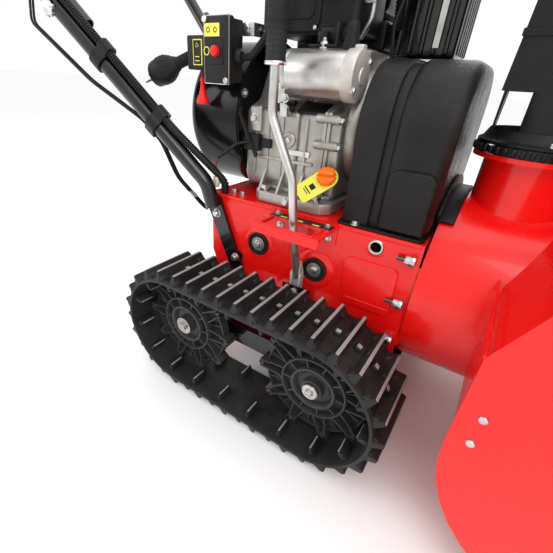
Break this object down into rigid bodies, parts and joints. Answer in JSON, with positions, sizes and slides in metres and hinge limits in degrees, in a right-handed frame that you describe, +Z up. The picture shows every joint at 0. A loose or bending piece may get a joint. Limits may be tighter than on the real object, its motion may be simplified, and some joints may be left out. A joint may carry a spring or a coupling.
{
  "type": "two stage snowblower",
  "caption": "Walk-behind two stage snowblower on rubber tracks, with ribbon augers, fan drum, turning chute, engine, height lever and tube handles.",
  "frame": {"origin": "on the ground, midway between the grips' rear end and the intake's front edge, and midway between the two sides", "axes": "+X is forward, out of the snow intake; +Y is to the operator's left; +Z is up"},
  "size_m": [1.67, 0.714, 1.055],
  "materials": {
    "chassis_frame": "glossy red powder coat",
    "bottom_cover": "glossy black enamel",
    "lever_guide": "glossy red powder coat",
    "bearings": "zinc-plated steel",
    "drive_chains": "oiled roller chain",
    "drive_belts": "dull black rubber",
    "impeller_drum": "glossy red powder coat",
    "auger_housing": "glossy red powder coat",
    "scraper_bar": "glossy black enamel",
    "skid_shoes": "glossy black enamel",
    "auger_gearbox": "machined cast iron",
    "belt_cover": "fine-grained black moulding",
    "chute_flap": "dull black rubber",
    "engine_block": "sand-cast aluminium",
    "fan_housing": "glossy black moulding",
    "engine_shroud": "fine-grained black moulding",
    "fuel_tank": "glossy black moulding",
    "starter_motor": "bright drawn steel",
    "switch_box": "fine-grained black moulding",
    "mains_plug": "dull black rubber",
    "engine_cables": "dull black rubber",
    "handle_lower": "glossy black enamel",
    "handle_upper": "glossy black enamel",
    "hand_grips": "dull black rubber",
    "control_panel": "fine-grained black moulding",
    "control_cables": "dull black rubber",
    "cable_clips": "fine-grained black moulding",
    "fasteners": "zinc-plated steel",
    "track_frames": "glossy black enamel",
    "rear_axle": "zinc-plated steel",
    "track_belt_right": "moulded rubber track",
    "track_belt_left": "moulded rubber track",
    "height_lever": "zinc-plated steel",
    "lever_grip": "textured grip",
    "drive_axle": "zinc-plated steel",
    "drive_wheel_right": "fine-grained black moulding",
    "drive_wheel_left": "fine-grained black moulding",
    "idler_wheel_right": "fine-grained black moulding",
    "idler_wheel_left": "fine-grained black moulding",
    "countershaft": "zinc-plated steel",
    "hex_shaft": "zinc-plated steel",
    "friction_wheel": "dull black rubber",
    "crankshaft": "machined cast iron",
    "friction_disc": "turned face",
    "auger_shaft": "zinc-plated steel",
    "auger_right": "glossy black enamel",
    "auger_left": "glossy black enamel",
    "impeller": "glossy black enamel",
    "impeller_shaft": "zinc-plated steel",
    "auger_pulley": "machined cast iron",
    "chute": "fine-grained black moulding",
    "chute_deflector": "fine-grained black moulding",
    "chute_lever": "fine-grained black moulding",
    "shift_lever": "black rod and knob",
    "clutch_lever_right": "glossy black enamel",
    "clutch_lever_left": "glossy black enamel",
    "starter_button": "red button",
    "recoil_handle": "glossy black moulding",
    "fuel_cap": "fine-grained black moulding",
    "dipstick": "orange oil cap"
  },
  "bodies": {
    "chassis": {"chassis_frame": "chassis_frame", "bottom_cover": "bottom_cover", "lever_guide": "lever_guide", "bearings": "bearings", "drive_chains": "drive_chains", "drive_belts": "drive_belts", "impeller_drum": "impeller_drum", "auger_housing": "auger_housing", "scraper_bar": "scraper_bar", "skid_shoes": "skid_shoes", "auger_gearbox": "auger_gearbox", "belt_cover": "belt_cover", "chute_flap": "chute_flap", "engine_block": "engine_block", "fan_housing": "fan_housing", "engine_shroud": "engine_shroud", "fuel_tank": "fuel_tank", "starter_motor": "starter_motor", "switch_box": "switch_box", "mains_plug": "mains_plug", "engine_cables": "engine_cables", "handle_lower": "handle_lower", "handle_upper": "handle_upper", "hand_grips": "hand_grips", "control_panel": "control_panel", "control_cables": "control_cables", "cable_clips": "cable_clips", "fasteners": "fasteners"},
    "track_carriage": {"track_frames": "track_frames", "rear_axle": "rear_axle", "track_belt_right": "track_belt_right", "track_belt_left": "track_belt_left"},
    "height_lever": {"height_lever": "height_lever", "lever_grip": "lever_grip"},
    "drive_axle": {"drive_axle": "drive_axle", "drive_wheel_right": "drive_wheel_right", "drive_wheel_left": "drive_wheel_left"},
    "idler_right": {"idler_wheel_right": "idler_wheel_right"},
    "idler_left": {"idler_wheel_left": "idler_wheel_left"},
    "countershaft": {"countershaft": "countershaft"},
    "hex_shaft": {"hex_shaft": "hex_shaft"},
    "friction_wheel": {"friction_wheel": "friction_wheel"},
    "crankshaft": {"crankshaft": "crankshaft"},
    "friction_disc": {"friction_disc": "friction_disc"},
    "auger": {"auger_shaft": "auger_shaft", "auger_right": "auger_right", "auger_left": "auger_left"},
    "impeller": {"impeller": "impeller", "impeller_shaft": "impeller_shaft", "auger_pulley": "auger_pulley"},
    "chute": {"chute": "chute"},
    "chute_deflector": {"chute_deflector": "chute_deflector"},
    "chute_lever": {"chute_lever": "chute_lever"},
    "shift_lever": {"shift_lever": "shift_lever"},
    "clutch_right": {"clutch_lever_right": "clutch_lever_right"},
    "clutch_left": {"clutch_lever_left": "clutch_lever_left"},
    "starter_button": {"starter_button": "starter_button"},
    "recoil_handle": {"recoil_handle": "recoil_handle"},
    "fuel_cap": {"fuel_cap": "fuel_cap"},
    "dipstick": {"dipstick": "dipstick"}
  },
  "joints": [
    {"name": "track_tilt", "type": "hinge", "parent": "chassis", "child": "track_carriage", "pos_m": [0.19, 0, 0.15], "axis": [0, 1, 0], "range_deg": [-7, 7]},
    {"name": "lever_release", "type": "hinge", "parent": "track_carriage", "child": "height_lever", "pos_m": [0.086, -0.1583, 0.28], "axis": [1, 0, 0], "range_deg": [0, 6], "stiffness_Nm_per_rad": 20},
    {"name": "drive_spin", "type": "hinge", "parent": "chassis", "child": "drive_axle", "pos_m": [0.19, 0, 0.15], "axis": [0, 1, 0], "continuous": true},
    {"name": "idler_right_spin", "type": "hinge", "parent": "track_carriage", "child": "idler_right", "pos_m": [-0.13, -0.24, 0.15], "axis": [0, 1, 0], "continuous": true},
    {"name": "idler_left_spin", "type": "hinge", "parent": "track_carriage", "child": "idler_left", "pos_m": [-0.13, 0.24, 0.15], "axis": [0, 1, 0], "continuous": true},
    {"name": "countershaft_spin", "type": "hinge", "parent": "chassis", "child": "countershaft", "pos_m": [-0.015, 0, 0.347], "axis": [0, 1, 0], "continuous": true},
    {"name": "hex_shaft_spin", "type": "hinge", "parent": "chassis", "child": "hex_shaft", "pos_m": [0.115, 0, 0.331], "axis": [0, 1, 0], "continuous": true},
    {"name": "friction_wheel_shift", "type": "slide", "parent": "hex_shaft", "child": "friction_wheel", "axis": [0, 1, 0], "range_m": [-0.045, 0.045]},
    {"name": "crank_spin", "type": "hinge", "parent": "chassis", "child": "crankshaft", "pos_m": [0, 0, 0.567], "axis": [1, 0, 0], "continuous": true},
    {"name": "friction_disc_spin", "type": "hinge", "parent": "chassis", "child": "friction_disc", "pos_m": [0.2, 0, 0.331], "axis": [1, 0, 0], "continuous": true},
    {"name": "auger_spin", "type": "hinge", "parent": "chassis", "child": "auger", "pos_m": [0.625, 0, 0.275], "axis": [0, 1, 0], "continuous": true},
    {"name": "impeller_spin", "type": "hinge", "parent": "chassis", "child": "impeller", "pos_m": [0.35, 0, 0.325], "axis": [1, 0, 0], "continuous": true},
    {"name": "chute_turn", "type": "hinge", "parent": "chassis", "child": "chute", "pos_m": [0.388, 0, 0.566], "axis": [0, 0, 1], "range_deg": [-100, 100]},
    {"name": "deflector_tilt", "type": "hinge", "parent": "chute", "child": "chute_deflector", "pos_m": [0.404, 0, 0.916], "axis": [0, 1, 0], "range_deg": [0, 50]},
    {"name": "chute_lever_turn", "type": "hinge", "parent": "chassis", "child": "chute_lever", "pos_m": [-0.662, 0.11, 0.985], "axis": [0, 0, 1], "range_deg": [-50, 50]},
    {"name": "shift_lever_swing", "type": "hinge", "parent": "chassis", "child": "shift_lever", "pos_m": [-0.656, 0, 0.903], "axis": [0, 1, 0], "range_deg": [-20, 20]},
    {"name": "clutch_right_squeeze", "type": "hinge", "parent": "chassis", "child": "clutch_right", "pos_m": [-0.69, -0.211, 0.925], "axis": [0, 1, 0], "range_deg": [-20, 0], "stiffness_Nm_per_rad": 3},
    {"name": "clutch_left_squeeze", "type": "hinge", "parent": "chassis", "child": "clutch_left", "pos_m": [-0.69, 0.211, 0.925], "axis": [0, 1, 0], "range_deg": [-20, 0], "stiffness_Nm_per_rad": 3},
    {"name": "starter_button_press", "type": "slide", "parent": "chassis", "child": "starter_button", "axis": [0, 1, 0], "range_m": [0, 0.003], "stiffness_N_per_m": 600},
    {"name": "recoil_pull", "type": "slide", "parent": "chassis", "child": "recoil_handle", "axis": [-1, 0, 0], "range_m": [0, 0.1], "stiffness_N_per_m": 60},
    {"name": "fuel_cap_lift", "type": "slide", "parent": "chassis", "child": "fuel_cap", "axis": [0, 0, 1], "range_m": [0, 0.04]},
    {"name": "dipstick_lift", "type": "slide", "parent": "chassis", "child": "dipstick", "axis": [0.1698, -0.7466, 0.6432], "range_m": [0, 0.08]}
  ],
  "couplings": [
    {"joint": "idler_right_spin", "follows": "drive_spin", "ratio": 1},
    {"joint": "idler_left_spin", "follows": "drive_spin", "ratio": 1},
    {"joint": "countershaft_spin", "follows": "drive_spin", "ratio": 2.3636},
    {"joint": "hex_shaft_spin", "follows": "drive_spin", "ratio": 6.2314},
    {"joint": "friction_disc_spin", "follows": "crank_spin", "ratio": 0.5968},
    {"joint": "impeller_spin", "follows": "auger_spin", "ratio": 10},
    {"joint": "chute_lever_turn", "follows": "chute_turn", "ratio": 0.45},
    {"joint": "shift_lever_swing", "follows": "friction_wheel_shift", "rad_per_m": 7.75}
  ]
}
